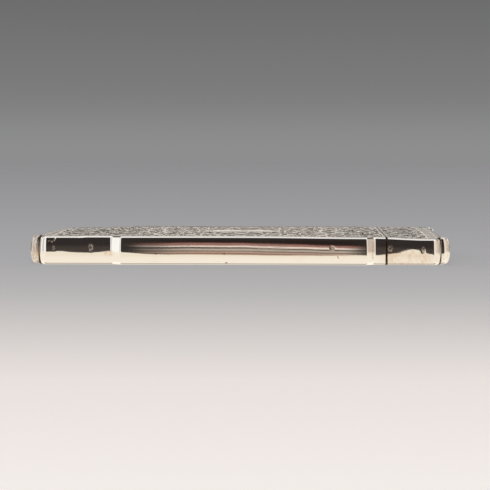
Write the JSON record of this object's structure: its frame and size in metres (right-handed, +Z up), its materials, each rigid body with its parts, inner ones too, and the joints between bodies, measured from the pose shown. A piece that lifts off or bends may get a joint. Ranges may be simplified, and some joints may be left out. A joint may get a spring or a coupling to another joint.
{
  "type": "card case",
  "caption": "Flat silver visiting-card case with a shaped outline, a convex polished edge, engraved broad faces and a lid hinged at one narrow side.",
  "frame": {"origin": "middle of the footprint, on the face that the case rests on", "axes": "+X along the length towards the lid, +Y towards the hinge side, +Z up through the broad faces"},
  "size_m": [0.1, 0.072, 0.0068],
  "materials": {
    "polished_silver": "hand-polished sterling silver, fine wear scratches",
    "engraved_silver": "engraved sterling silver, tarnish left in the cuts",
    "inner_silver": "satin silver, warm tarnish"
  },
  "bodies": {
    "body": {"body_top_panel": "engraved_silver", "body_bottom_panel": "engraved_silver", "body_front_band": "polished_silver", "body_back_band": "polished_silver", "body_end_band": "polished_silver", "mouth_liner": "inner_silver", "body_knuckle_lower": "polished_silver", "body_knuckle_upper": "polished_silver", "hinge_pin": "polished_silver"},
    "lid": {"lid_top_panel": "engraved_silver", "lid_bottom_panel": "engraved_silver", "lid_front_band": "polished_silver", "lid_back_band": "polished_silver", "lid_end_band": "polished_silver", "lid_knuckle": "polished_silver"}
  },
  "joints": [
    {"name": "lid_hinge", "type": "hinge", "parent": "body", "child": "lid", "pos_m": [0.0347, 0.0341, 0.0034], "axis": [0, 0, 1], "range_deg": [0, 110]}
  ]
}
